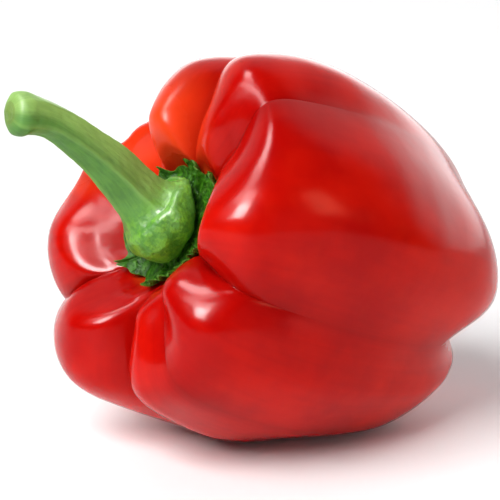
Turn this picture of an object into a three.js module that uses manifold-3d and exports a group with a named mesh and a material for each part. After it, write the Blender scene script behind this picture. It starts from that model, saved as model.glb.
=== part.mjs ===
// A ripe red bell pepper lying on its side: the lobed fruit, the ragged calyx
// in the bowl at its stem end, and the ribbed stem that grows out of the calyx.
// Millimetres, +Z up. The origin is the middle of the flat spot the fruit lies
// on. The stem end points toward -X and is raised, the blossom end toward +X.

import * as THREE from 'three';
import { ParametricGeometry } from 'three/addons/geometries/ParametricGeometry.js';
import { mergeVertices } from 'three/addons/utils/BufferGeometryUtils.js';
import Module from 'manifold-3d';

// ---- driving dimensions -----------------------------------------------------

const TILT = 23;                                          // the pod's axis above level, degrees
const POD_CENTRE = new THREE.Vector3(-5.5, 1, 37.8);      // where the pod's own origin stands
const GAP = 0.35;                                         // clearance between neighbouring pieces

// Stations of a meridian, from the seat of the calyx over the crown and down to
// the navel at the blossom end: distance from the pod's axis, and height on it.
const STATIONS = [
  { name: 'seat', radius: 0, height: 27 },
  { name: 'floor', radius: 8.5, height: 25 },
  { name: 'lip', radius: 13, height: 27.5 },
  { name: 'brim', radius: 18.2, height: 34.5 },
  { name: 'crown', radius: 25, height: 41.5 },
  { name: 'shoulder', radius: 38.5, height: 32.5 },
  { name: 'belly', radius: 43, height: 10 },
  { name: 'waist', radius: 41, height: -13 },
  { name: 'heel', radius: 34, height: -33 },
  { name: 'toe', radius: 19, height: -46.5 },
  { name: 'dimple', radius: 7, height: -43.5 },
  { name: 'navel', radius: 0, height: -42 },
];

// How much of each setting of a lobe a station takes.
const RISE_SHARE = { lip: 0.3, brim: 0.6, crown: 1, shoulder: 1, belly: 0.3 };
const REACH_SHARE = { lip: 0.3, brim: 0.5, crown: 1, shoulder: 1, belly: 0.3 };
const LIP_SHARE = { lip: 1, brim: 0.9, crown: 0.6 };
const PEAK_SHARE = { brim: 0.5, crown: 1, shoulder: 0.15 };
const SPREAD_SHARE = { brim: 0.5, crown: 1 };
const PUFF_SHARE = { brim: 1 };
const PUFF_INWARD = 0.4;      // how far a puffed inner wall leans in, for each mm it stands out
const BELLY_SHARE = { shoulder: 0.5, belly: 1, waist: 0.8, heel: 0.3 };
const HEEL_SHARE = { belly: 0.15, waist: 0.7, heel: 1, toe: 0.8, dimple: 0.2 };

// How much of each depth of a crease a station takes.
const CUT_SHARE = { floor: 0.1, lip: 0.25, brim: 0.5, crown: 0.7, belly: 0.2 };
const DROP_SHARE = { lip: 0.15, brim: 0.7, crown: 1.1 };
const SHOULDER_DROP = 0.95;   // how far a crease drops at the shoulder, for each mm it cuts in
const BELLY_CUT_SHARE = { shoulder: 0.4, belly: 1, waist: 1, heel: 0.5 };
const HEEL_CUT_SHARE = { waist: 0.3, heel: 1, toe: 1, dimple: 0.3 };
const HEEL_LIFT_SHARE = { heel: 0.5, toe: 1, dimple: 0.3 };
const SHARP_SHARE = {
  seat: 1, floor: 1, lip: 1, brim: 1, crown: 1, shoulder: 0.8, belly: 0.1, heel: 0.1, toe: 0.3,
};
const TURN_SHARE = { seat: 1, floor: 1, lip: 1, brim: 0.9, crown: 0.7, shoulder: 0.2 };

// The lobes, clockwise round the stem end from the top. `ridge` is the bearing
// of the lobe's crest in degrees and `lean` swings it round the stem end. The
// rest are millimetres: `rise` lifts and `reach` widens the stem end, `belly`
// and `heel` fill it out lower down, `lip` pushes its inner edge out, `peak`
// and `spread` move the crown alone, and `puff` swells the wall inside it.
const LOBES = [
  {
    ridge: 334, lean: 16, rise: -6, reach: -1.5, belly: 0.5,
    heel: 0, lip: 0, peak: 1, spread: 0, puff: 2.5,
  },
  {
    ridge: 16, lean: 12, rise: -2, reach: 0.5, belly: 1,
    heel: -1.5, lip: 1, peak: -5.5, spread: 2.5, puff: 2,
  },
  {
    ridge: 72, lean: 17, rise: 0.5, reach: 1.5, belly: 1,
    heel: 2, lip: 5.2, peak: -1.4, spread: 0, puff: 1.2,
  },
  {
    ridge: 122, lean: -2, rise: 0.5, reach: 0.5, belly: 0.5,
    heel: -2, lip: 1, peak: -3, spread: 0.5, puff: 2,
  },
  {
    ridge: 157, lean: -7, rise: -1, reach: -0.5, belly: 0.5,
    heel: -5, lip: 0, peak: -5, spread: 0, puff: 1,
  },
  {
    ridge: 200, lean: -10, rise: -0.5, reach: 1.5, belly: 0.5,
    heel: -6, lip: 0, peak: -1, spread: 1, puff: 0.5,
  },
  {
    ridge: 252, lean: -6, rise: -1.5, reach: -0.3, belly: 1,
    heel: 0, lip: 0, peak: -1.8, spread: 2.5, puff: 0.3,
  },
  {
    ridge: 298, lean: 0, rise: -6, reach: -6, belly: 0.5,
    heel: 0, lip: 0, peak: -9, spread: 8.5, puff: 0.8,
  },
];

// The crease before each lobe. `top`, `shoulder`, `belly` and `heel` are depths
// in mm, below 0 for a filled hollow; `topSharp` and `sharp` run from 0, a soft
// hollow, to 1, a folded-in crease; `turn` swings it round the stem end.
const CREASES = [
  { bearing: 316, top: 5, shoulder: 4.5, belly: 4, heel: 2.5, topSharp: 1, sharp: 0.5, turn: 2 },
  { bearing: 350, top: 7.5, shoulder: 4.7, belly: 2.5, heel: 1.5, topSharp: 1, sharp: 0.6, turn: 18 },
  { bearing: 33, top: 8, shoulder: 2, belly: 1.5, heel: 1.5, topSharp: 0.5, sharp: 0, turn: 8 },
  { bearing: 103, top: 8, shoulder: 3.6, belly: 4, heel: 4, topSharp: 0.9, sharp: 0, turn: 0 },
  { bearing: 141, top: 3.5, shoulder: 0, belly: -0.8, heel: -0.5, topSharp: 0.3, sharp: 0, turn: -5 },
  { bearing: 174, top: 8, shoulder: 5, belly: 0.6, heel: 0.6, topSharp: 1, sharp: 0.2, turn: -10 },
  { bearing: 230, top: 6, shoulder: 2.8, belly: 2.5, heel: 2.5, topSharp: 1, sharp: 0.5, turn: -14 },
  { bearing: 276, top: -0.5, shoulder: -1, belly: 1.5, heel: 2, topSharp: 0, sharp: 0, turn: 0 },
];

const DEEPEST_CREASE = Math.max(...CREASES.map(({ top }) => top));
const HALF_LOBES = LOBES.length * 2;
const POD_COLUMNS = 4;        // columns from a ridge to the crease beside it
const POD_ROWS = 40;          // rows from the seat to the navel
const WHOLE_STEP_SLACK = 1e-6;  // so that a turn a hair under a whole half lobe counts as the next one

const CALYX_THICK = 2.2;      // at the middle
const CALYX_EDGE_THICK = 1;   // at the rim
const CALYX_RIM = 2;          // station the rim reaches on a lobe: the lip
const CALYX_TIP = 0.9;        // how much farther each tip runs, down in its crease
const CALYX_COLUMNS = 3;      // as POD_COLUMNS
const CALYX_ROWS = 10;        // even, so that one row lies on the rim

// The stem's centreline in the pod's axes: x up, y to the far side, z outward.
const STEM_BASE = STATIONS[0].height + CALYX_THICK + 2 * GAP;     // mm along the axis
const STEM_LINE = new THREE.CatmullRomCurve3([
  new THREE.Vector3(0.6, -2.2, STEM_BASE),
  new THREE.Vector3(0.6, -2.2, STEM_BASE + 2),
  new THREE.Vector3(1.7, -1, 35),
  new THREE.Vector3(3.9, 0, 39.5),
  new THREE.Vector3(7.4, 1, 46),
  new THREE.Vector3(10.5, 2, 54),
  new THREE.Vector3(12.4, 3, 61.5),
  new THREE.Vector3(12.4, 3.5, 67),
  new THREE.Vector3(11.2, 4, 72),
]);

// The stem's outline: share of the way along the centreline, and radius. It
// starts and ends on the centreline: swollen base, slim middle, flared cut end.
const STEM_PROFILE = new THREE.SplineCurve([
  new THREE.Vector2(0, 0),
  new THREE.Vector2(0, 4.8),
  new THREE.Vector2(0, 7.3),
  new THREE.Vector2(0.02, 9),
  new THREE.Vector2(0.05, 9.5),
  new THREE.Vector2(0.09, 8.8),
  new THREE.Vector2(0.14, 7),
  new THREE.Vector2(0.2, 5.9),
  new THREE.Vector2(0.28, 5.3),
  new THREE.Vector2(0.38, 4.9),
  new THREE.Vector2(0.52, 4.25),
  new THREE.Vector2(0.7, 3.8),
  new THREE.Vector2(0.81, 3.7),
  new THREE.Vector2(0.88, 4.1),
  new THREE.Vector2(0.93, 4.7),
  new THREE.Vector2(0.97, 4.4),
  new THREE.Vector2(0.99, 3.3),
  new THREE.Vector2(1, 1.9),
  new THREE.Vector2(1, 0),
]);
const STEM_RIBS = 5;
const STEM_RIB_DEPTH = 0.07;  // as a share of the radius
const STEM_COLUMNS = 25;
const STEM_ROWS = 36;
const STEM_FRAMES = 200;      // steps along the centreline at which its directions are worked out

// ---- the pod's surface ------------------------------------------------------

const share = (shares, name) => shares[name] ?? 0;

/** Meridian along a lobe's crest, as (radius, height) points. */
function ridgeStations(lobe) {
  return STATIONS.map(({ name, radius, height }) => new THREE.Vector2(
    radius
      + share(REACH_SHARE, name) * lobe.reach
      + share(LIP_SHARE, name) * lobe.lip
      + share(SPREAD_SHARE, name) * lobe.spread
      - share(PUFF_SHARE, name) * lobe.puff * PUFF_INWARD
      + share(BELLY_SHARE, name) * lobe.belly
      + share(HEEL_SHARE, name) * lobe.heel,
    height
      + share(RISE_SHARE, name) * lobe.rise
      + share(PEAK_SHARE, name) * lobe.peak
      + share(PUFF_SHARE, name) * lobe.puff,
  ));
}

/** Meridian along a crease: midway between its two lobes, then cut inward. */
function creaseStations(crease, before, after) {
  const one = ridgeStations(before);
  const other = ridgeStations(after);
  return STATIONS.map(({ name, radius }, k) => {
    const middle = one[k].clone().lerp(other[k], 0.5);
    const shoulder = name === 'shoulder' ? crease.shoulder : 0;
    const cut = share(CUT_SHARE, name) * crease.top
      + shoulder
      + share(BELLY_CUT_SHARE, name) * crease.belly
      + share(HEEL_CUT_SHARE, name) * crease.heel;
    const drop = share(DROP_SHARE, name) * crease.top
      + SHOULDER_DROP * shoulder
      - share(HEEL_LIFT_SHARE, name) * crease.heel;
    return radius === 0 ? middle : middle.sub(new THREE.Vector2(cut, drop));
  });
}

const ridges = LOBES.map((lobe) => new THREE.SplineCurve(ridgeStations(lobe)));
const valleys = CREASES.map((crease, k) => new THREE.SplineCurve(
  creaseStations(crease, LOBES.at(k - 1), LOBES[k]),
));

/** A setting given at some stations, read at any place on the meridian. */
function alongMeridian(shares, place) {
  const at = place * (STATIONS.length - 1);
  const k = Math.min(Math.floor(at), STATIONS.length - 2);
  const first = share(shares, STATIONS[k].name);
  const second = share(shares, STATIONS[k + 1].name);
  return THREE.MathUtils.lerp(first, second, at - k);
}

/** The shorter way round from one bearing to another, in degrees. */
function swing(from, to) {
  return THREE.MathUtils.euclideanModulo(to - from + 180, 360) - 180;
}

/**
 * Point of the pod's skin. `turn` runs 0 to 1 once round the pod, two halves to
 * a lobe; `place` runs 0 to 1 from the seat to the navel. Across a half lobe
 * the skin bulges from the crease meridian up to the ridge meridian. A sharp
 * crease keeps the bulge full almost to its edge; a soft one is a cosine.
 */
function podPoint(turn, place, target) {
  const at = turn * HALF_LOBES;
  const half = Math.floor(at + WHOLE_STEP_SLACK);
  const within = at - half;
  const k = Math.floor(half / 2) % LOBES.length;
  const rising = half % 2 === 0;
  const creaseIndex = rising ? k : (k + 1) % CREASES.length;
  const crease = CREASES[creaseIndex];
  const toCrease = Math.sin((rising ? 1 - within : within) * Math.PI / 2);

  const sharp = THREE.MathUtils.lerp(crease.sharp, crease.topSharp, alongMeridian(SHARP_SHARE, place));
  const folded = Math.max(0, 1 - toCrease ** 2.2) ** 0.75;
  const rounded = 0.5 + 0.5 * Math.cos(Math.PI * toCrease);
  const bulge = THREE.MathUtils.lerp(rounded, folded, sharp);

  const ridge = ridges[k].getPoint(place);
  const valley = valleys[creaseIndex].getPoint(place);
  const { x: radius, y: height } = valley.lerp(ridge, bulge);
  const turned = alongMeridian(TURN_SHARE, place);
  const crest = LOBES[k].ridge + LOBES[k].lean * turned;
  const bearing = crest + swing(crest, crease.bearing + crease.turn * turned) * toCrease;
  const angle = THREE.MathUtils.degToRad(bearing);
  target.set(radius * Math.cos(angle), -radius * Math.sin(angle), height);
}

// ---- helpers ----------------------------------------------------------------

/** Closed body from a surface function whose first and last rows are poles. */
function closedSurface(surface, columns, rows) {
  const geometry = new ParametricGeometry(surface, columns, rows);
  geometry.deleteAttribute('normal');
  geometry.deleteAttribute('uv');
  const merged = mergeVertices(geometry, 1e-4);
  const corners = Array.from(merged.index.array);
  const kept = [];
  for (let t = 0; t < corners.length; t += 3) {
    const [a, b, c] = corners.slice(t, t + 3);
    if (a !== b && b !== c && c !== a) kept.push(a, b, c);
  }
  merged.setIndex(kept);
  merged.computeVertexNormals();
  return merged;
}

const wasm = await Module();
wasm.setup();

function toSolid(geometry) {
  const bare = geometry.clone();
  bare.deleteAttribute('normal');
  bare.deleteAttribute('uv');
  const merged = mergeVertices(bare, 1e-4);
  return new wasm.Manifold(new wasm.Mesh({
    numProp: 3,
    vertProperties: merged.attributes.position.array,
    triVerts: Uint32Array.from(merged.index.array),
  }));
}

function toGeometry(solid) {
  const { vertProperties, triVerts } = solid.getMesh();
  const geometry = new THREE.BufferGeometry();
  geometry.setAttribute('position', new THREE.BufferAttribute(vertProperties, 3));
  geometry.setIndex(new THREE.BufferAttribute(triVerts, 1));
  geometry.computeVertexNormals();
  return geometry;
}

// ---- the pieces -------------------------------------------------------------

/** The fruit, posed, with the spot it lies on pressed flat at z = 0. */
function makeFruit(pose) {
  const skin = closedSurface(podPoint, HALF_LOBES * POD_COLUMNS, POD_ROWS);
  skin.applyMatrix4(pose);
  const side = 200;
  const below = new THREE.BoxGeometry(side, side, side);
  below.translate(0, 0, -side / 2);
  return toGeometry(toSolid(skin).subtract(toSolid(below)));
}

/**
 * The calyx: a thin ragged disc on the floor of the bowl. Its top and underside
 * both follow the skin below; its tips run out along the creases.
 */
function calyxPoint(turn, place, target) {
  const onTop = place < 0.5;
  const outward = onTop ? place * 2 : (1 - place) * 2;
  const nearCrease = Math.abs(Math.cos(turn * HALF_LOBES * Math.PI / 2));
  const { top } = CREASES[Math.round(turn * LOBES.length) % LOBES.length];
  const rim = CALYX_RIM + CALYX_TIP * nearCrease ** 3 * Math.max(0, top) / DEEPEST_CREASE;
  podPoint(turn, outward * rim / (STATIONS.length - 1), target);
  const edge = outward ** 4;
  const thick = THREE.MathUtils.lerp(CALYX_THICK, CALYX_EDGE_THICK, edge);
  const atRim = outward === 1;
  const level = atRim ? thick / 2 : Number(onTop) * thick;
  target.z += GAP + level;
}

const stemFrames = STEM_LINE.computeFrenetFrames(STEM_FRAMES);

/** The stem: its outline swept along the centreline, with blunt ribs. */
function stemPoint(turn, place, target) {
  const outline = STEM_PROFILE.getPoint(place);
  const along = THREE.MathUtils.clamp(outline.x, 0, 1);
  const k = Math.round(along * STEM_FRAMES);
  const angle = turn * 2 * Math.PI;
  const radius = outline.y * (1 + STEM_RIB_DEPTH * Math.cos(STEM_RIBS * angle));
  target.copy(STEM_LINE.getPointAt(k / STEM_FRAMES));
  target.addScaledVector(stemFrames.normals[k], radius * Math.cos(angle));
  target.addScaledVector(stemFrames.binormals[k], radius * Math.sin(angle));
}

// ---- assembly ---------------------------------------------------------------

const ripeRed = new THREE.MeshStandardMaterial({ color: 0xc01810, roughness: 0.22, metalness: 0 });
const calyxGreen = new THREE.MeshStandardMaterial({ color: 0x1f6b1c, roughness: 0.6, metalness: 0 });
const stemGreen = new THREE.MeshStandardMaterial({ color: 0x6f9e46, roughness: 0.55, metalness: 0 });

function named(name, geometry, material) {
  const mesh = new THREE.Mesh(geometry, material);
  mesh.name = name;
  return mesh;
}

// The pod's own axes: +Z out of the stem end, +X up, turned into the lying pose.
const podAxes = new THREE.Group();
podAxes.position.copy(POD_CENTRE);
podAxes.rotation.y = THREE.MathUtils.degToRad(TILT - 90);
podAxes.updateMatrix();

podAxes.add(named('calyx', closedSurface(calyxPoint, HALF_LOBES * CALYX_COLUMNS, CALYX_ROWS), calyxGreen));
podAxes.add(named('stem', closedSurface(stemPoint, STEM_COLUMNS, STEM_ROWS), stemGreen));

const pepper = new THREE.Group();
pepper.add(named('fruit', makeFruit(podAxes.matrix), ripeRed));
pepper.add(podAxes);

export default pepper;
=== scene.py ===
# %% [markdown]
# # A red bell pepper lying on its side
# The frame is a plain faceted model of the pepper: a lobed fruit, a calyx and a stem. This
# lesson grows the fine, living surfaces over it. Every surface is a formula of two numbers,
# one running round the pepper and one running along it, so that a change to one setting
# moves skin, crease and calyx together. We load the frame first, and measure it.

# %% Load the frame
import bpy
import numpy as np
from mathutils import Matrix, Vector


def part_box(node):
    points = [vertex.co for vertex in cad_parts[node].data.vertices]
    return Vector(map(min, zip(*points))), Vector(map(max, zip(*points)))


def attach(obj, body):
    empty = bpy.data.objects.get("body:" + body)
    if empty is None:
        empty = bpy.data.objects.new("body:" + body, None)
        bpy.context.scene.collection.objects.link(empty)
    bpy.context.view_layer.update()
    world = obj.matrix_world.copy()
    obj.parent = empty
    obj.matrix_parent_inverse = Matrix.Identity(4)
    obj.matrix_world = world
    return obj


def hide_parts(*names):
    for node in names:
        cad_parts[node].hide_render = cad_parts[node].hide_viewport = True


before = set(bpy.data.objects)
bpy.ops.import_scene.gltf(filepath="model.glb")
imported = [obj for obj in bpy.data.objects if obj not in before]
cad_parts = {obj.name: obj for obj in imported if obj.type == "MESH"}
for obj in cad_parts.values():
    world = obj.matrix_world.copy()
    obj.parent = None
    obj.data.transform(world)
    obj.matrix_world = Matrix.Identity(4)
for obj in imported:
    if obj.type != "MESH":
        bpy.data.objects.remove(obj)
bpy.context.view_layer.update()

TILT = 23                 # how far the stem end is raised, in degrees

# %% [markdown]
# ## The meridian
# A bell pepper is close to a turned vase: cut it through the stem and the outline runs from
# the bowl under the stem, over the crown, down the belly and in to the navel at the far end.
# That outline could be drawn as a curve object. Here it is a short list of stations instead,
# distance from the axis and height on it in millimetres, because every lobe and every crease
# needs its own version of the same outline.

# %% Stations of the outline
STATIONS = [
    "seat", "floor", "lip", "brim", "crown", "shoulder",
    "belly", "waist", "heel", "toe", "dimple", "navel",
]
RADIUS = np.array([0, 8.5, 13, 18.2, 25, 38.5, 43, 41, 34, 19, 7, 0.0])
HEIGHT = np.array([27, 25, 27.5, 34.5, 41.5, 32.5, 10, -13, -33, -46.5, -43.5, -42])
SPANS = len(STATIONS) - 1


def share(**parts):
    """How much of a setting each station takes: the named ones as given, the others none."""
    return np.array([parts.get(name, 0.0) for name in STATIONS])


print(f"outline: {len(STATIONS)} stations")
print(f"pod: {HEIGHT.max() - HEIGHT.min():.0f} mm long, {2 * RADIUS.max():.0f} mm across")

# %% [markdown]
# ## Lobes and creases
# A pepper grows in lobes, each with its own fullness, and the skin folds in between them.
# Displacing a round pod with a texture would give bumps with no folds. So each lobe gets a
# ridge outline along its crest, and each crease gets a valley outline, cut inward from the
# middle of its two neighbours.

# %% Settings of the lobes and creases
# bearing of the crest, its swing round the stem end, then millimetres: rise and reach of the
# crown end, fullness of belly and heel, setback of the inner lip, peak and spread of the
# crown, and how far the inner wall puffs out over the bowl
LOBES = np.array([
    [334, 16, -6.0, -1.5, 0.5, 0.0, 0.0, 1.0, 0.0, 2.5],
    [16, 12, -2.0, 0.5, 1.0, -1.5, 1.0, -5.5, 2.5, 2.0],
    [72, 17, 0.5, 1.5, 1.0, 2.0, 5.2, -1.4, 0.0, 1.2],
    [122, -2, 0.5, 0.5, 0.5, -2.0, 1.0, -3.0, 0.5, 2.0],
    [157, -7, -1.0, -0.5, 0.5, -5.0, 0.0, -5.0, 0.0, 1.0],
    [200, -10, -0.5, 1.5, 0.5, -6.0, 0.0, -1.0, 1.0, 0.5],
    [252, -6, -1.5, -0.3, 1.0, 0.0, 0.0, -1.8, 2.5, 0.3],
    [298, 0, -6.0, -6.0, 0.5, 0.0, 0.0, -9.0, 8.5, 0.8],
])
# the crease before each lobe: bearing, depths at top, shoulder, belly and heel, sharpness at
# the top and lower down (0 a soft hollow, 1 a fold), and its swing round the stem end
CREASES = np.array([
    [316, 5.0, 4.5, 4.0, 2.5, 1.0, 0.5, 2],
    [350, 7.5, 4.7, 2.5, 1.5, 1.0, 0.6, 18],
    [33, 8.0, 2.0, 1.5, 1.5, 0.5, 0.0, 8],
    [103, 8.0, 3.6, 4.0, 4.0, 0.9, 0.0, 0],
    [141, 3.5, 0.0, -0.8, -0.5, 0.3, 0.0, -5],
    [174, 8.0, 5.0, 0.6, 0.6, 1.0, 0.2, -10],
    [230, 6.0, 2.8, 2.5, 2.5, 1.0, 0.5, -14],
    [276, -0.5, -1.0, 1.5, 2.0, 0.0, 0.0, 0],
])
RIDGE, LEAN, RISE, REACH, BELLY, HEEL, LIP, PEAK, SPREAD, PUFF = LOBES.T
BEARING, TOP_CUT, SHOULDER_CUT, BELLY_CUT, HEEL_CUT, TOP_SHARP, SHARP, SWING = CREASES.T
HALVES = 2 * len(LOBES)

ridge_radius = (
    RADIUS[:, None]
    + np.outer(share(brim=0.5, crown=1, shoulder=1, belly=0.3, lip=0.3), REACH)
    + np.outer(share(lip=1, brim=0.9, crown=0.6), LIP)
    + np.outer(share(brim=0.5, crown=1), SPREAD)
    - np.outer(share(brim=0.4), PUFF)
    + np.outer(share(shoulder=0.5, belly=1, waist=0.8, heel=0.3), BELLY)
    + np.outer(share(belly=0.15, waist=0.7, heel=1, toe=0.8, dimple=0.2), HEEL)
)
ridge_height = (
    HEIGHT[:, None]
    + np.outer(share(brim=0.6, crown=1, shoulder=1, belly=0.3, lip=0.3), RISE)
    + np.outer(share(brim=0.5, crown=1, shoulder=0.15), PEAK)
    + np.outer(share(brim=1), PUFF)
)
valley_radius = 0.5 * (ridge_radius + np.roll(ridge_radius, 1, axis=1)) - (
    np.outer(share(floor=0.1, lip=0.25, brim=0.5, crown=0.7, belly=0.2), TOP_CUT)
    + np.outer(share(shoulder=1), SHOULDER_CUT)
    + np.outer(share(shoulder=0.4, belly=1, waist=1, heel=0.5), BELLY_CUT)
    + np.outer(share(waist=0.3, heel=1, toe=1, dimple=0.3), HEEL_CUT)
)
valley_height = 0.5 * (ridge_height + np.roll(ridge_height, 1, axis=1)) + (
    np.outer(share(heel=0.5, toe=1, dimple=0.3), HEEL_CUT)
    - np.outer(share(lip=0.15, brim=0.7, crown=1.1), TOP_CUT)
    - np.outer(share(shoulder=0.95), SHOULDER_CUT)
)
print("ridge crowns, mm from the axis:", ridge_radius[STATIONS.index("crown")].round(1))

# %% [markdown]
# ## From stations to a curve
# Between the stations the outline must be smooth. A Bezier curve would need handles to tune
# at every station. A Catmull-Rom curve needs only the stations, and runs through them all.

# %% A smooth curve through the stations
def along(values, place, column=None, mirror=1.0):
    """Catmull-Rom curve: each span blends the stations at its ends with the next ones out.
    Beyond both ends the curve is mirrored, through the axis where mirror is -1."""
    padded = np.concatenate([mirror * values[1:2], values, mirror * values[-2:-1]])
    at = place * SPANS
    k = np.clip(np.floor(at).astype(int), 0, SPANS - 1)
    t = at - k
    before, first, second, after = (
        padded[k + step] if column is None else padded[k + step, column] for step in range(4)
    )
    cubic = 3 * (first - second) + after - before
    square = 2 * before - 5 * first + 4 * second - after
    return first + 0.5 * t * (second - before + t * (square + t * cubic))


print("radius half way along, mm:", along(RADIUS, np.array(0.5)).round(1))

# %% [markdown]
# ## From outlines to skin
# Round the pod, the skin swells from the valley outline up to the ridge outline. A cosine
# makes a soft hollow; a power of a circle stays full almost to the edge and then turns
# sharply in, which is how two lobes press together at a fold.

# %% The skin as a function of two numbers
TOP_SHARP_SHARE = share(
    seat=1, floor=1, lip=1, brim=1, crown=1, shoulder=0.8, belly=0.1, heel=0.1, toe=0.3
)
SWING_SHARE = share(seat=1, floor=1, lip=1, brim=0.9, crown=0.7, shoulder=0.2)
FULLNESS = 0.75           # power of the circle that a folded lobe follows
WHOLE_STEP = 1e-9         # so that a turn a hair under a whole half lobe counts as the next one


def skin(turn, place):
    """Point of the skin in the pod's own axes, mm: z out of the stem end, x up, y to the far
    side. turn runs 0 to 1 round the pod, two halves to a lobe, and place 0 to 1 from seat to
    navel. Radius and height go from valley to ridge by the bulge, and the bearing goes from
    the ridge's to the crease's by a sine, so columns crowd toward the fold."""
    turn, place = np.broadcast_arrays(turn, place)
    at = turn * HALVES
    half = np.floor(at + WHOLE_STEP).astype(int)
    rising = half % 2 == 0
    lobe = (half // 2) % len(LOBES)
    crease = np.where(rising, lobe, (lobe + 1) % len(LOBES))
    within = at - half
    to_crease = np.sin(np.where(rising, 1 - within, within) * np.pi / 2)

    top = along(TOP_SHARP_SHARE, place)
    sharp = SHARP[crease] + (TOP_SHARP - SHARP)[crease] * np.clip(top, 0, 1)
    folded = np.clip(1 - to_crease**2, 0, 1) ** FULLNESS
    bulge = sharp * folded + (1 - sharp) * (0.5 + 0.5 * np.cos(np.pi * to_crease))

    low = along(valley_radius, place, crease, -1.0)
    radius = low + (along(ridge_radius, place, lobe, -1.0) - low) * bulge
    low = along(valley_height, place, crease)
    height = low + (along(ridge_height, place, lobe) - low) * bulge
    swing = along(SWING_SHARE, place)
    crest = RIDGE[lobe] + LEAN[lobe] * swing
    across = (BEARING[crease] + SWING[crease] * swing - crest + 180) % 360 - 180
    angle = np.radians(crest + across * to_crease)
    return np.stack([radius * np.cos(angle), -radius * np.sin(angle), height], axis=-1)


def closeness_to_crease(turn):
    """1 on a crease and 0 on a ridge, as a cosine in between."""
    return np.abs(np.cos(turn * HALVES * np.pi / 2))


print("skin at the first crease's crown, mm:", skin(np.array(0.0), np.array(0.3)).round(1))

# %% [markdown]
# ## Laying the pod down
# The pod was shaped upright on its own axis, where the formula is simple. To lie in the
# frame it is turned, scaled to the frame's fruit and moved over it. Turning the object would
# work for a render, but a mesh whose points are already in place is easier to paint and
# export, so the turn goes into the points.

# %% From the pod's axes to the frame
ROUGH_COLUMNS, ROUGH_ROWS = 257, 161      # a coarse grid, only to measure the pod


def lie_down(points):
    """Turns the pod's axes: z out of the stem end goes to -X and up, x goes mostly up."""
    tilt = np.radians(TILT)
    up = [np.sin(tilt), 0, np.cos(tilt)]
    out = [-np.cos(tilt), 0, np.sin(tilt)]
    return points @ np.array([up, [0, 1, 0], out])


fruit_low, fruit_high = (np.array(corner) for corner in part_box("fruit"))
rough_turn = np.linspace(0, 1, ROUGH_COLUMNS)[None, :]
rough_place = np.linspace(0, 1, ROUGH_ROWS)[:, None]
rough = lie_down(skin(rough_turn, rough_place)).reshape(-1, 3)
rough_low, rough_high = rough.min(axis=0), rough.max(axis=0)
scale = (fruit_high - fruit_low)[0] / (rough_high - rough_low)[0]
shift = 0.5 * (fruit_low + fruit_high) - 0.5 * (rough_low + rough_high) * scale
shift[2] = fruit_high[2] - rough_high[2] * scale


def to_frame(points):
    """Points in the pod's axes, mm, to the row frame, metres."""
    return lie_down(points) * scale + shift


print("scale to metres:", round(float(scale), 6), "pod centre:", shift.round(4))

# %% [markdown]
# ## Small unevenness
# No lobe is a perfect curve. Long, shallow waves a finger wide bend the reflections, and
# shorter ones roughen the calyx. Blender's Displace modifier could do it with a texture.
# A sum of plane waves in random directions does the same in one line, is smooth everywhere,
# and with a fixed seed is the same each time.

# %% Waves and normals
TINY = 1e-12              # keeps a pole, where the step round is nothing, from dividing by zero


def ripple(points, wavelength, seed, waves=18):
    """Smooth bumps: the sum of plane waves of one length in random directions, near -1 to 1."""
    rng = np.random.default_rng(seed)
    directions = rng.normal(size=(waves, 3))
    directions /= np.linalg.norm(directions, axis=1, keepdims=True)
    phases = rng.uniform(0, 2 * np.pi, waves)
    total = np.zeros(points.shape[:-1])
    for direction, phase in zip(directions, phases):
        total += np.sin(points @ direction * (2 * np.pi / wavelength) + phase)
    return total / np.sqrt(2 * waves)


def outward(points):
    """Unit normals of a grid closed round its columns: the cross product of the steps round
    and along it, turned to point away from its middle."""
    step_round = np.roll(points, -1, axis=1) - np.roll(points, 1, axis=1)
    step_along = np.gradient(points, axis=0)
    normals = np.cross(step_round, step_along)
    normals /= np.maximum(np.linalg.norm(normals, axis=-1, keepdims=True), TINY)
    inward = (normals * (points - points.mean(axis=(0, 1)))).sum() < 0
    return -normals if inward else normals


def smooth_step(low, high, value):
    """0 below low, 1 above high, and a smooth S between."""
    t = np.clip((value - low) / (high - low), 0, 1)
    return t * t * (3 - 2 * t)


print("smooth step a quarter of the way up:", smooth_step(0, 1, 0.25))

# %% [markdown]
# ## Grids to meshes
# Each surface is a grid: columns close round, and the first and last rows shrink to a point.
# If every row kept all its columns there, the poles would hold slivers, so each pole becomes
# one vertex with a fan of triangles, and the rest are quads. Named values ride along on the
# vertices for the materials to read.

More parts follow.
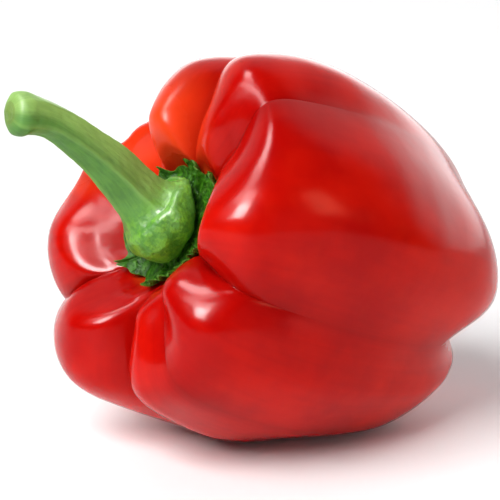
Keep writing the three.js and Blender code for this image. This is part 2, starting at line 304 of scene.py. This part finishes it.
# %% Grid to mesh
def surface(name, points, **values):
    """A closed, smooth-shaded mesh from a grid (rows, columns, 3) with poles at both ends.
    Where its volume, summed over the quads, is negative, every face is turned round."""
    rows, columns = points.shape[:2]
    ring = np.arange(columns)
    following = (ring + 1) % columns
    starts = 1 + np.arange(rows - 3)[:, None] * columns
    below = starts + columns
    quads = np.stack([starts + ring, starts + following, below + following, below + ring], -1)
    quads = quads.reshape(-1, 4)
    last_ring = 1 + (rows - 3) * columns
    last = 1 + (rows - 2) * columns
    first_fan = np.stack([np.zeros_like(ring), 1 + following, 1 + ring], -1)
    last_fan = np.stack([last_ring + ring, last_ring + following, np.full_like(ring, last)], -1)

    def per_vertex(grid):
        flat = grid[1:-1].reshape(-1, *grid.shape[2:])
        return np.concatenate([grid[:1, 0], flat, grid[-1:, 0]])

    vertices = per_vertex(points)
    first, second, third = (vertices[quads[:, k]] for k in range(3))
    volume = (first * np.cross(second, third)).sum()
    faces = first_fan.tolist() + quads.tolist() + last_fan.tolist()
    if volume < 0:
        faces = [face[::-1] for face in faces]
    mesh = bpy.data.meshes.new(name)
    mesh.from_pydata(vertices.tolist(), [], faces)
    for key, grid in values.items():
        grid = np.broadcast_to(grid, points.shape[:2] + np.shape(grid)[2:])
        kind, field = ("FLOAT_VECTOR", "vector") if grid.ndim == 3 else ("FLOAT", "value")
        flat = per_vertex(grid).astype(np.float32).ravel()
        mesh.attributes.new(key, kind, "POINT").data.foreach_set(field, flat)
    mesh.polygons.foreach_set("use_smooth", np.ones(len(faces), bool))
    mesh.validate()
    piece = bpy.data.objects.new(name, mesh)
    bpy.context.scene.collection.objects.link(piece)
    print(f"{name}: {len(vertices)} vertices, {len(faces)} faces")
    return piece


def stands_for(piece, node):
    """The piece takes the node's place in the frame: it hangs from the root body, and the node's own
    part is hidden.
    """
    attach(piece, "root")
    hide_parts(node)


# %% [markdown]
# ## The fruit
# The pod's skin is the formula on a fine grid. Two lengths of wave keep the lobes from
# looking cast, faint pleats run into the bowl under the calyx, and the underside is pressed
# flat where the soft wall rests. Sculpting would look as good but could not be measured
# against the frame.

# %% Grow the fruit
SKIN_COLUMNS = 20 * HALVES
SKIN_ROWS = 281
turn = np.arange(SKIN_COLUMNS)[None, :] / SKIN_COLUMNS
place = np.linspace(0, 1, SKIN_ROWS)[:, None]
pod = skin(turn, place)

LONG_WAVE, LONG_HEIGHT = 26, 0.20      # mm
SHORT_WAVE, SHORT_HEIGHT = 9, 0.025
PLEATS, PLEAT_HEIGHT = 46, 0.05
# the masks are in places along the skin: the lip is at 0.18, the crown 0.36, the belly 0.55
flank = smooth_step(0.2, 0.36, place) * (1 - smooth_step(0.45, 0.95, place))
# painted shade for the folds: darkest on a crease, fading out across the lobe
crease_shade = closeness_to_crease(turn) ** 6 * flank
bowl = 1 - smooth_step(0.17, 0.32, place)
open_skin = smooth_step(0.15, 0.36, place)
swell = (
    LONG_HEIGHT * ripple(pod, LONG_WAVE, 4) * open_skin
    + SHORT_HEIGHT * ripple(pod, SHORT_WAVE, 9) * open_skin
    + PLEAT_HEIGHT * np.sin(turn * 2 * np.pi * PLEATS) * bowl * smooth_step(0.1, 0.2, place)
)
pod = pod + outward(pod) * swell[..., None]

REST_SOFTNESS = 0.0005     # metres over which the pressed spot rounds off
placed = to_frame(pod)
placed[..., 2] = 0.5 * (placed[..., 2] + np.hypot(placed[..., 2], REST_SOFTNESS))
angle = turn * 2 * np.pi
grain = np.stack(np.broadcast_arrays(np.cos(angle), np.sin(angle), 0.25 * place), axis=-1)
fruit = surface("fruit_skin", placed, crease=crease_shade, bowl=bowl, grain=grain)
stands_for(fruit, "fruit")

# %% [markdown]
# ## The calyx
# The calyx is what is left of the flower: a leathery green disc with a tip in each crease
# and a ruffled rim. A flat disc with a wave on it would float or sink, because the bowl is
# uneven. So both faces of the calyx follow the skin below them, a little way off, out to a
# rim that reaches farther wherever there is a crease.

# %% Settings and wobble of the calyx
CALYX_COLUMNS = 28 * HALVES
CALYX_TOP_ROWS, CALYX_UNDER_ROWS = 60, 30
CLEARANCE = 0.35                       # mm between calyx and skin
MIDDLE_THICK, RIM_THICK = 2.2, 0.9
RIM_STATION, TIP_REACH, RAGGED = 2.0, 0.9, 0.08      # in spans of the outline
RUFFLE, CURL, VEIN = 1.7, 1.5, 0.45    # mm
PUCKER, PUCKER_WAVE = 0.3, 3.2         # mm high, mm across


def wobble(turn, counts, seed):
    """Uneven waves round the axis: sines with these whole numbers of waves, random phases."""
    phases = np.random.default_rng(seed).uniform(0, 2 * np.pi, len(counts))
    waves = [np.sin(2 * np.pi * n * turn + phase) for n, phase in zip(counts, phases)]
    return sum(waves) / len(counts) ** 0.5


print("calyx grid:", CALYX_TOP_ROWS + CALYX_UNDER_ROWS, "rows by", CALYX_COLUMNS, "columns")

# %% [markdown]
# ## Ruffle and rim
# The disc is one grid: out from the middle on the upper face, and back in on the lower one,
# so it closes by itself. The rim wobbles unevenly, curls up and carries a tip in each deep
# crease. Solidify could thicken a single sheet, and a vertex group could thin it toward the
# rim, but with both faces from one formula neither is needed.

# %% Grow the calyx
turn = np.arange(CALYX_COLUMNS)[None, :] / CALYX_COLUMNS
rise = np.sin(np.linspace(0, 1, CALYX_TOP_ROWS) * np.pi / 2)
fall = np.sin(np.linspace(1, 0, CALYX_UNDER_ROWS) * np.pi / 2)
out = np.concatenate([rise, fall])[:, None]
over = np.concatenate([np.ones(CALYX_TOP_ROWS), np.zeros(CALYX_UNDER_ROWS)])[:, None]

tips = closeness_to_crease(turn) ** 3
nearest_crease = np.round(turn * len(LOBES)).astype(int) % len(LOBES)
depth = np.clip(TOP_CUT, 0, None)[nearest_crease] / TOP_CUT.max()
rim = RIM_STATION + TIP_REACH * tips * depth + RAGGED * wobble(turn, [11, 17, 23, 31, 47], 3)
disc = skin(turn, out * rim / SPANS)
thick = MIDDLE_THICK + (RIM_THICK - MIDDLE_THICK) * out**3
ruffle = RUFFLE * out**3 * (0.5 + 0.5 * np.clip(wobble(turn, [13, 19, 26, 37], 5), -1, 1))
curl = CURL * out**5 * (0.5 + 0.5 * np.clip(wobble(turn, [5, 7, 11], 8), -1, 1))
side_veins = 0.5 * closeness_to_crease(turn + 0.5 / HALVES) ** 12
vein = VEIN * (tips**4 + side_veins) * np.sin(np.pi * out) * over
puckers = PUCKER * ripple(disc, PUCKER_WAVE, 12) * out * over
edge_round = 1 - 0.8 * smooth_step(0.985, 1.0, out)
lift = CLEARANCE + ruffle + curl + thick * (0.5 + (over - 0.5) * edge_round) + vein + puckers
disc[..., 2] += lift
calyx = surface("calyx_leaf", to_frame(disc), rim=out**4, tips=tips)
stands_for(calyx, "calyx")

# %% [markdown]
# ## The stem
# The stalk swells where it joins the calyx, thins, bends up and flares at the cut. It has
# five blunt ribs, so its section is a rounded pentagon. A curve object with a bevel would
# keep one section all along, so the sweep is done here: an outline of distance along and
# radius, carried along a path. The path's points were first solved for with a camera model,
# and then rounded and moved.

# %% Path and outline of the stem
STEM_PATH = np.array([
    [0.6, -2.2, 29.9],
    [0.6, -2.2, 31.9],
    [1.7, -1.0, 35],
    [3.9, 0, 39.5],
    [7.4, 1, 46],
    [10.5, 2, 54],
    [12.4, 3, 61.5],
    [12.4, 3.5, 67],
    [11.2, 4, 72],
])
# share of the way along, and radius in mm: base, swelling, neck, middle, flare, hollow cut
STEM_OUTLINE = np.array([
    [0.0, 0], [0.0, 4.8], [0.0, 7.3], [0.02, 9.0], [0.05, 9.5], [0.09, 8.8],
    [0.14, 7.0], [0.2, 5.9], [0.28, 5.3], [0.38, 4.9], [0.52, 4.25], [0.7, 3.8],
    [0.81, 3.7], [0.88, 4.1], [0.93, 4.7], [0.97, 4.4], [0.99, 3.3], [1.0, 1.9],
    [0.994, 1.1], [0.99, 0],
])


def smooth_curve(points, count):
    """Catmull-Rom curve through the points, with its end points repeated."""
    padded = np.concatenate([points[:1], points, points[-1:]])
    at = np.linspace(0, len(points) - 1, count)
    k = np.minimum(at.astype(int), len(points) - 2)
    t = (at - k)[:, None]
    before, first, second, after = (padded[k + step] for step in range(4))
    cubic = 3 * (first - second) + after - before
    square = 2 * before - 5 * first + 4 * second - after
    return first + 0.5 * t * (second - before + t * (square + t * cubic))


path = smooth_curve(STEM_PATH, 600)
walked = np.concatenate([[0], np.cumsum(np.linalg.norm(np.diff(path, axis=0), axis=1))])
print(f"stem path: {walked[-1]:.1f} mm long")

# %% [markdown]
# ## The sweep
# A ring is carried along the path and squared up to it at each step. The ring is a circle
# stretched toward a pentagon, less so on the swollen base and at the flared end, and turned
# slowly on its way. Modelling each rib by hand would take longer and twist less evenly.

# %% Sweep the stem
STEM_COLUMNS, STEM_ROWS = 200, 380
RIBS, RIB_SHARPNESS, TWIST = 5, 0.62, 0.5      # TWIST in radians from base to cut
ROUND_LEVEL = 0.9                              # a rib stands out where the pentagon is beyond this
CREST_LEVEL = 0.3                              # and its crest where corner is beyond this
CREST, BOSS_WOBBLE = 0.05, 0.025               # shares of the radius
BOSS_LUMP, BOSS_WAVE = 0.24, 4.6               # mm high, mm across
FINE_LUMP, FINE_WAVE = 0.03, 1.7
SLOW_LUMP, SLOW_WAVE = 0.16, 9
CUT_POINT = 16.6                               # point of the outline where the cut face begins
FAR_SIDE = np.array([0.0, 1.0, 0.0])

outline = smooth_curve(STEM_OUTLINE, STEM_ROWS)
reach = np.clip(outline[:, 0], 0, 1)
radius = np.maximum(outline[:, 1], 0)
centre = np.stack([np.interp(reach * walked[-1], walked, path[:, axis]) for axis in range(3)], -1)
slope = np.gradient(path, walked, axis=0)
ahead = np.stack([np.interp(reach * walked[-1], walked, slope[:, axis]) for axis in range(3)], -1)
ahead /= np.linalg.norm(ahead, axis=1, keepdims=True)
side = FAR_SIDE - (ahead @ FAR_SIDE)[:, None] * ahead
side /= np.linalg.norm(side, axis=1, keepdims=True)
above = np.cross(ahead, side)

turn = np.arange(STEM_COLUMNS)[None, :] / STEM_COLUMNS
angle = turn * 2 * np.pi
reach = reach[:, None]
facet = 2 * np.pi / RIBS
from_flat = (angle + TWIST * reach + facet / 2) % facet - facet / 2
pentagon = np.cos(facet / 2) / np.cos(from_flat)
corner = smooth_step(0.82, 1.0, pentagon)
swollen = 1 - smooth_step(0.08, 0.26, reach)
ribbed = (1 - 0.8 * swollen) * (1 - 0.8 * smooth_step(0.84, 0.95, reach))
section = 1 + RIB_SHARPNESS * ribbed * (pentagon - ROUND_LEVEL)
section = section + CREST * ribbed * (corner - CREST_LEVEL)
section = section + BOSS_WOBBLE * swollen * wobble(turn, [2, 5, 7], 21)
ring = side[:, None] * np.cos(angle)[..., None] + above[:, None] * np.sin(angle)[..., None]
stalk = centre[:, None] + ring * (radius[:, None] * section)[..., None]
lumps = (
    BOSS_LUMP * swollen * ripple(stalk, BOSS_WAVE, 31)
    + FINE_LUMP * ripple(stalk, FINE_WAVE, 32)
    + SLOW_LUMP * ripple(stalk, SLOW_WAVE, 33)
)
stalk = stalk + outward(stalk) * (lumps * smooth_step(0, 3, radius)[:, None])[..., None]
grain = np.stack(np.broadcast_arrays(np.cos(angle), np.sin(angle), 1.2 * reach), axis=-1)
cut_face = np.linspace(0, len(STEM_OUTLINE) - 1, STEM_ROWS)[:, None] > CUT_POINT
# painted light: the side of the stalk that faces up is painted paler, as if lit from above
sunny = smooth_step(-0.15, 0.5, lie_down(ring)[..., 2])
stem = surface(
    "stalk", to_frame(stalk), corner=corner, grain=grain, sunny=sunny,
    reach=reach, swollen=swollen, cut=cut_face,
)
stands_for(stem, "stem")

# %% [markdown]
# ## A small language for materials
# Materials are graphs of nodes. They could be wired one by one, but that hides the idea, so
# a small class wraps an output socket, and + - * on it add the Math nodes.

# %% Sockets that do arithmetic
class Signal:
    """An output socket. Arithmetic on it adds a Math node to its tree."""

    def __init__(self, socket):
        self.socket = socket

    def math(self, operation, first, second):
        """A Math node in the first signal's tree."""
        node = self.socket.id_data.nodes.new("ShaderNodeMath")
        node.operation = operation
        for slot, value in zip(node.inputs, (first, second)):
            feed(slot, value)
        return Signal(node.outputs[0])

    def __add__(self, other):
        return self.math("ADD", self, other)

    def __sub__(self, other):
        return self.math("SUBTRACT", self, other)

    def __rsub__(self, other):
        return self.math("SUBTRACT", other, self)

    def __mul__(self, other):
        return self.math("MULTIPLY", self, other)

    __radd__ = __add__
    __rmul__ = __mul__


def feed(slot, value):
    """Links a signal to a socket, or sets the socket's own value."""
    if isinstance(value, Signal):
        slot.id_data.links.new(value.socket, slot)
    else:
        slot.default_value = value


print("arithmetic of a signal:", ", ".join(key for key in vars(Signal) if key.startswith("__r")))

# %% [markdown]
# ## Every other node
# A Noise or a Bump is no sum, so it needs another way in. One method adds any node, given its
# type, its settings and its sockets, and short methods over it name the few that the
# finishes use again and again.

# %% Nodes of every other kind
class Finish:
    """A node tree, and the one way to add nodes to it."""

    def __init__(self, tree):
        self.tree = tree
        tree.nodes.clear()

    def node(self, kind, settings=None, inputs=None, output=0):
        """Adds a node: its settings first, then its sockets, found by identifier or name. Gives
        the wanted output, or nothing for a node that has none."""
        node = self.tree.nodes.new(kind)
        for key, value in (settings or {}).items():
            setattr(node, key, value)
        for key, value in (inputs or {}).items():
            slot = next(s for s in node.inputs if key in (s.identifier, s.name) and s.enabled)
            feed(slot, value)
        if not node.outputs:
            return None
        if isinstance(output, int):
            return Signal(node.outputs[output])
        return Signal(next(s for s in node.outputs if output in (s.identifier, s.name) and s.enabled))

    def mix(self, factor, first, second):
        """Colour between first and second."""
        return self.node(
            "ShaderNodeMix",
            {"data_type": "RGBA", "clamp_factor": True},
            {"Factor_Float": factor, "A_Color": first, "B_Color": second},
            "Result_Color",
        )

    def noise(self, where, size, detail=3.0):
        """Noise from 0 to 1 with patches about `size` across, in the units of where."""
        sockets = {"Vector": where, "Scale": 1 / size, "Detail": detail}
        return self.node("ShaderNodeTexNoise", None, sockets, "Fac")

    def step(self, signal, low, high):
        """0 below low and 1 above high, smooth between."""
        sockets = {"Value": signal, "From Min": low, "From Max": high}
        return self.node("ShaderNodeMapRange", {"interpolation_type": "SMOOTHSTEP"}, sockets, "Result")

    def value(self, name):
        """A number stored on the vertices."""
        return self.node("ShaderNodeAttribute", {"attribute_name": name}, None, "Fac")

    def vector(self, name):
        """A vector stored on the vertices."""
        return self.node("ShaderNodeAttribute", {"attribute_name": name}, None, "Vector")

    def bump(self, height, depth):
        """Normal of a surface raised by height times depth, in metres."""
        return self.node("ShaderNodeBump", None, {"Height": height, "Distance": depth, "Strength": 1.0})

    def shade(self, **sockets):
        """Principled shader with these sockets, written with underscores, to the output."""
        named = {key.replace("_", " "): value for key, value in sockets.items()}
        shader = self.node("ShaderNodeBsdfPrincipled", None, named)
        self.node("ShaderNodeOutputMaterial", None, {"Surface": shader})


def new_finish(name, piece):
    """A material on the piece, with an empty tree to fill."""
    material = bpy.data.materials.new(name)
    material.use_nodes = True
    piece.data.materials.clear()
    piece.data.materials.append(material)
    return Finish(material.node_tree)


print("a finish can add:", ", ".join(key for key in vars(Finish) if not key.startswith("_")))

# %% [markdown]
# ## Ripe skin
# The skin is deep red flesh under a thin, clear wax that mirrors windows sharply. A coat over
# a rougher base is the usual recipe, but its second reflection lays a milky veil over so dark
# a red. So one smooth layer does it, with a low specular level. The red is not even: cloudy
# patches, fine streaks from stem to tip and a browner bowl. Painted light and shade go over
# it: the high shoulders by the stem are painted brighter and more orange, and are duller too,
# the blossom end is painted lighter and warmer, and a painted shade darkens the folds.

# %% Paint the fruit
MM = 0.001
DEEP_RED = (0.36, 0.0012, 0.0008, 1)
RIPE_RED = (0.50, 0.0045, 0.0012, 1)
WARM_RED = (0.72, 0.032, 0.007, 1)
SHOULDER_LIGHT_RED = (1.0, 0.080, 0.012, 1)
FOLD_SHADE_RED = (0.24, 0.001, 0.001, 1)
WEB_GREEN = (0.45, 0.08, 0.008, 1)

finish = new_finish("ripe skin", fruit)
where = finish.node("ShaderNodeTexCoord", None, None, "Object")
clouds = finish.noise(where, 16 * MM, 3)
mottle = finish.noise(where, 3.5 * MM, 4)
streaks = finish.noise(finish.vector("grain"), 0.035, 2)
colour = finish.mix(finish.step(clouds * 0.8 + streaks * 0.2, 0.34, 0.66), DEEP_RED, RIPE_RED)
colour = finish.mix(finish.step(mottle, 0.45, 0.85) * 0.07, colour, WARM_RED)
split = {"Vector": where}
lengthwise, sideways, upward = (
    finish.node("ShaderNodeSeparateXYZ", None, split, axis) for axis in "XYZ"
)
# the painted light on the shoulders and at the blossom end is placed in metres from the
# middle of the rest spot
stem_end = (1 - finish.step(lengthwise, -0.042, -0.012)) * finish.step(sideways, -0.012, 0.0)
# painted light: the high shoulders by the stem are painted brighter and more orange
shoulder_light = stem_end * finish.step(upward + sideways * 0.3, 0.056, 0.066)
colour = finish.mix(shoulder_light * (clouds * 0.3 + 0.75), colour, SHOULDER_LIGHT_RED)
# painted light: the blossom end is painted lighter and warmer
blossom_light = finish.step(lengthwise, -0.020, 0.035)
colour = finish.mix(blossom_light * 0.22, colour, WARM_RED)
# painted shade: darker down in the folds
colour = finish.mix(finish.value("crease") * 0.6, colour, FOLD_SHADE_RED)
colour = finish.mix(finish.step(finish.value("bowl"), 0.75, 1.0) * 0.35, colour, WEB_GREEN)
pores = finish.noise(where, 0.45 * MM, 2)
waves = finish.noise(where, 2.6 * MM, 2)
finish.shade(
    Base_Color=colour,
    Roughness=0.15 + mottle * 0.06 + shoulder_light * 0.2,
    IOR=1.33,
    Specular_IOR_Level=0.2,
    Subsurface_Weight=0.06,
    Subsurface_Radius=(1.0, 0.12, 0.05),
    Subsurface_Scale=0.003,
    Normal=finish.bump(pores * 0.25 + waves, 0.035 * MM),
)
print("ripe skin:", len(finish.tree.nodes), "nodes")

# %% [markdown]
# ## Calyx green
# The calyx is dark and leathery and finely crinkled. Its high spots, curled rim and tips are
# painted paler, a painted highlight on the raised parts. The crinkles could be cut into the
# mesh, but the finest are only two faces wide, so a bump does them all.

# %% Paint the calyx
LEAF_DARK = (0.012, 0.065, 0.001, 1)
LEAF_MID = (0.040, 0.170, 0.003, 1)
LEAF_HIGHLIGHT = (0.110, 0.270, 0.030, 1)

finish = new_finish("calyx green", calyx)
where = finish.node("ShaderNodeTexCoord", None, None, "Object")
blotch = finish.noise(where, 2.2 * MM, 4)
fine = finish.noise(where, 0.5 * MM, 3)
crinkle = finish.noise(where, 1.1 * MM, 2)
colour = finish.mix(finish.step(blotch * 0.5 + crinkle * 0.5, 0.38, 0.62), LEAF_DARK, LEAF_MID)
# painted highlight: the tops of the crinkles, the curled rim and the vein tips are painted paler
colour = finish.mix(finish.step(crinkle, 0.58, 0.72) * 0.35, colour, LEAF_HIGHLIGHT)
rim_highlight = finish.step(finish.value("rim") + blotch * 0.3, 0.9, 1.2)
colour = finish.mix(rim_highlight * 0.5, colour, LEAF_HIGHLIGHT)
colour = finish.mix(finish.step(finish.value("tips"), 0.75, 1.0) * 0.3, colour, LEAF_HIGHLIGHT)
finish.shade(
    Base_Color=colour,
    Roughness=0.38 + fine * 0.2,
    IOR=1.4,
    Specular_IOR_Level=0.15,
    Normal=finish.bump(blotch + crinkle * 0.6 + fine * 0.15, 0.7 * MM),
)
print("calyx green:", len(finish.tree.nodes), "nodes")

# %% [markdown]
# ## Stalk green
# The stalk is lighter than the calyx, with fibres along it; its rib crests are painted paler,
# a painted highlight, and so is its upper side, as painted light from above. Its swollen base
# is greener and wetter, and the cut end has dried olive. An image of bark would have to be
# wrapped round it; the stretched noise on the stalk's own grain needs no wrapping.

# %% Paint the stem
STALK_DARK = (0.058, 0.175, 0.024, 1)
STALK_MID = (0.085, 0.240, 0.034, 1)
STALK_LIT_GREEN = (0.330, 0.540, 0.120, 1)
BOSS_GREEN = (0.050, 0.210, 0.002, 1)
BOSS_PALE = (0.150, 0.390, 0.010, 1)
CUT_OLIVE = (0.120, 0.190, 0.020, 1)

finish = new_finish("stalk green", stem)
where = finish.node("ShaderNodeTexCoord", None, None, "Object")
fibres = finish.noise(finish.vector("grain"), 0.10, 4)
blotch = finish.noise(where, 4 * MM, 4)
speck = finish.noise(where, 0.7 * MM, 3)
colour = finish.mix(finish.step(fibres * 0.5 + blotch * 0.5, 0.36, 0.62), STALK_DARK, STALK_MID)
# painted highlight: the crests of the ribs are painted paler
colour = finish.mix(finish.step(finish.value("corner"), 0.3, 1.0) * 0.22, colour, STALK_LIT_GREEN)
boss = finish.value("swollen")
# painted light: the upper side is painted paler
colour = finish.mix(finish.value("sunny") * (fibres * 0.5 + 0.5) * 0.8, colour, STALK_LIT_GREEN)
colour = finish.mix(boss * 0.85, colour, BOSS_GREEN)
patch = finish.noise(where, 1.6 * MM, 4)
mottled = finish.step(patch + speck * 0.4, 0.58, 0.85)
colour = finish.mix(mottled * (boss * 0.6 + 0.1), colour, BOSS_PALE)
dried = finish.value("cut") + finish.step(finish.value("reach") + blotch * 0.04, 0.985, 1.03) * 0.7
colour = finish.mix(finish.step(dried, 0.2, 1.0) * 0.7, colour, CUT_OLIVE)
finish.shade(
    Base_Color=colour,
    Roughness=0.44 + speck * 0.2,
    IOR=1.45,
    Specular_IOR_Level=0.35,
    Coat_Weight=boss * 0.2 + 0.05,
    Coat_Roughness=0.25,
    Normal=finish.bump(fibres * 0.4 + speck * (boss * 1.2 + 0.2) + blotch, 0.16 * MM),
)
print("stalk green:", len(finish.tree.nodes), "nodes")

# %% [markdown]
# ## The studio
# A glossy thing mirrors the whole room round it, so the studio is laid out by direction:
# an azimuth and an elevation from the pepper for the camera and for every lamp. Dragging
# them about by hand would work, but a direction can be worked out from where a highlight
# lies, and then adjusted.

# %% Directions of the studio
AZIMUTH, ELEVATION, DISTANCE = -34, 15, 0.6      # where the camera stands: degrees, metres
FRAME_WIDTH = 0.1088                             # how wide the view is at the pepper, metres
SENSOR = 36                                      # mm
NEAREST = 0.05                                   # metres; nothing nearer to the lens is seen
AIM_LEFT, AIM_UP = 0.0045, 0.00115               # metres that the aim is off the pod's centre


def direction(azimuth, elevation):
    """Unit vector from the pepper toward an azimuth and elevation: azimuth 0 is -Y, 90 is +X."""
    azimuth, elevation = np.radians([azimuth, elevation])
    level = np.cos(elevation)
    return np.array([np.sin(azimuth) * level, -np.cos(azimuth) * level, np.sin(elevation)])


def looking(from_point, at_point):
    """Placement of a camera or lamp at from_point: its -Z points at at_point, and its X, the
    cross product of straight up and its own Z, is level."""
    back = (from_point - at_point) / np.linalg.norm(from_point - at_point)
    right = np.cross([0, 0, 1], back)
    right /= np.linalg.norm(right)
    placed = np.eye(4)
    placed[:3] = np.stack([right, np.cross(back, right), back, from_point], axis=1)
    return Matrix(placed.tolist())


middle = shift.copy()
print("the pod's centre, which the lamps face:", middle.round(4))

# %% [markdown]
# ## The camera
# A long lens from a little above, so that the pepper keeps its true shape. The lens is
# worked out from the distance and the width to be seen, instead of being tried out.

# %% Camera
toward = direction(AZIMUTH, ELEVATION)
right = np.array([np.cos(np.radians(AZIMUTH)), np.sin(np.radians(AZIMUTH)), 0])
above = np.cross(toward, right)
target = middle - right * AIM_LEFT + above * AIM_UP
camera = bpy.data.objects.new("camera", bpy.data.cameras.new("camera"))
camera.data.sensor_width = SENSOR
camera.data.lens = SENSOR * DISTANCE / FRAME_WIDTH
camera.data.clip_start = NEAREST
camera.matrix_world = looking(target + toward * DISTANCE, target)
bpy.context.scene.collection.objects.link(camera)
bpy.context.scene.camera = camera
print("lens:", round(camera.data.lens, 1), "mm")

# %% [markdown]
# ## The table
# The table is matt white, and is mirrored as the lighter lower half of each lobe. It could run
# on to the horizon. It stops not far in front of the pepper instead, so that those lighter
# halves have an upper edge.

# %% Table
TABLE_NEAR, TABLE_FAR, TABLE_SIDE = 0.62, 4.0, 2.5       # metres that it runs from the pepper
away = -np.array([toward[0], toward[1], 0]) / np.hypot(toward[0], toward[1])
near, far = -TABLE_NEAR * away, TABLE_FAR * away
edge = TABLE_SIDE * right
below_middle = middle * [1, 1, 0]
corners = [below_middle + spot for spot in (near - edge, near + edge, far + edge, far - edge)]
table_mesh = bpy.data.meshes.new("white_table")
table_mesh.from_pydata([corner.tolist() for corner in corners], [], [(0, 1, 2, 3)])
table = bpy.data.objects.new("white_table", table_mesh)
bpy.context.scene.collection.objects.link(table)
finish = new_finish("white_table", table)
where = finish.node("ShaderNodeTexCoord", None, None, "Object")
finish.shade(Base_Color=(0.9, 0.9, 0.9, 1), Roughness=0.6 + finish.noise(where, 0.01) * 0.1)
print("table:", TABLE_NEAR + TABLE_FAR, "by", 2 * TABLE_SIDE, "metres")

# %% [markdown]
# ## Windows and lamps
# Crisp highlights need small bright lamps, and those alone would burn the shading out. So
# there are two kinds: cards that only show in the gloss, and fills that only light the
# surface. Real studios do nearly the same with small bulbs and big, faint sheets.

# %% Windows and lamps
DAYLIGHT, LAMPLIGHT = (1.0, 1.0, 1.0), (1.0, 0.42, 0.25)
FILL_DISTANCE, FILL_SIZE = 2.5, (2.2, 1.6)       # metres


def lamp(name, azimuth, elevation, distance, width, height, glow, tint):
    """A rectangular lamp facing the pepper. Its power is its glow, the radiance that it
    looks to have, times pi and its area."""
    data = bpy.data.lights.new(name, "AREA")
    data.shape = "RECTANGLE"
    data.size, data.size_y = width, height
    data.energy = glow * np.pi * width * height
    data.color = tint
    item = bpy.data.objects.new(name, data)
    item.matrix_world = looking(middle + direction(azimuth, elevation) * distance, middle)
    bpy.context.scene.collection.objects.link(item)
    return item


for name, azimuth, elevation, distance, wide, tall, glow, tint in (
    ("softbox", -69, 38, 0.95, 0.28, 0.33, 85, DAYLIGHT),
    ("lower pane", -72, 51, 1.0, 0.32, 0.34, 32, DAYLIGHT),
    ("upper pane", -98, 60, 1.0, 0.22, 0.50, 18, DAYLIGHT),
    ("high window", -140, 71, 1.0, 0.30, 0.24, 34, DAYLIGHT),
    ("small lamp", 34, 27, 1.0, 0.22, 0.30, 9, LAMPLIGHT),
):
    card = lamp(name, azimuth, elevation, distance, wide, tall, glow, tint)
    card.visible_diffuse = False
for name, azimuth, elevation, glow in (("left fill", -78, 46, 9.0), ("front fill", 15, 8, 1.3)):
    fill = lamp(name, azimuth, elevation, FILL_DISTANCE, *FILL_SIZE, glow, DAYLIGHT)
    fill.visible_glossy = False

# %% [markdown]
# ## The room
# On the camera's side the room is dark, which keeps the upper halves deep red. Behind the
# pepper are a faint backdrop and, to the right, a low white wall for the pale far edge. They
# could be planes, but they are so big and plain that they are painted on the world, by
# direction alone, as if far off.

# %% Room
WALL_AZIMUTH = 119                               # middle of the white wall behind
DARK_SIDE = (0.025, 0.025, 0.03, 1)
FAINT_BACKDROP = (0.8, 0.8, 0.8, 1)
WHITE_WALL = (3.6, 3.6, 3.6, 1)

world = bpy.data.worlds.new("room")
world.use_nodes = True
bpy.context.scene.world = world
finish = Finish(world.node_tree)
gaze = finish.node("ShaderNodeTexCoord", None, None, "Generated")


def toward_side(azimuth):
    """Cosine of the angle between the gaze and the level direction at this azimuth."""
    side = {"Vector": gaze, "Vector_001": tuple(direction(azimuth, 0))}
    return finish.node("ShaderNodeVectorMath", {"operation": "DOT_PRODUCT"}, side, "Value")


height = finish.node("ShaderNodeSeparateXYZ", None, {"Vector": gaze}, "Z")
wall = finish.step(toward_side(WALL_AZIMUTH), 0.5, 0.85) * (1 - finish.step(height, 0.2, 0.5))
backdrop = finish.step(toward_side(AZIMUTH + 180), 0.3, 0.55)
room = finish.mix(backdrop, DARK_SIDE, FAINT_BACKDROP)
room = finish.mix(wall, room, WHITE_WALL)
glow = finish.node("ShaderNodeBackground", None, {"Color": room, "Strength": 1.0})
finish.node("ShaderNodeOutputWorld", None, {"Surface": glow})
bpy.context.scene.view_settings.view_transform = "Standard"
print("room:", len(finish.tree.nodes), "nodes")

# %% [markdown]
# ## Size kept
# The new skin must fill the same space as the frame.
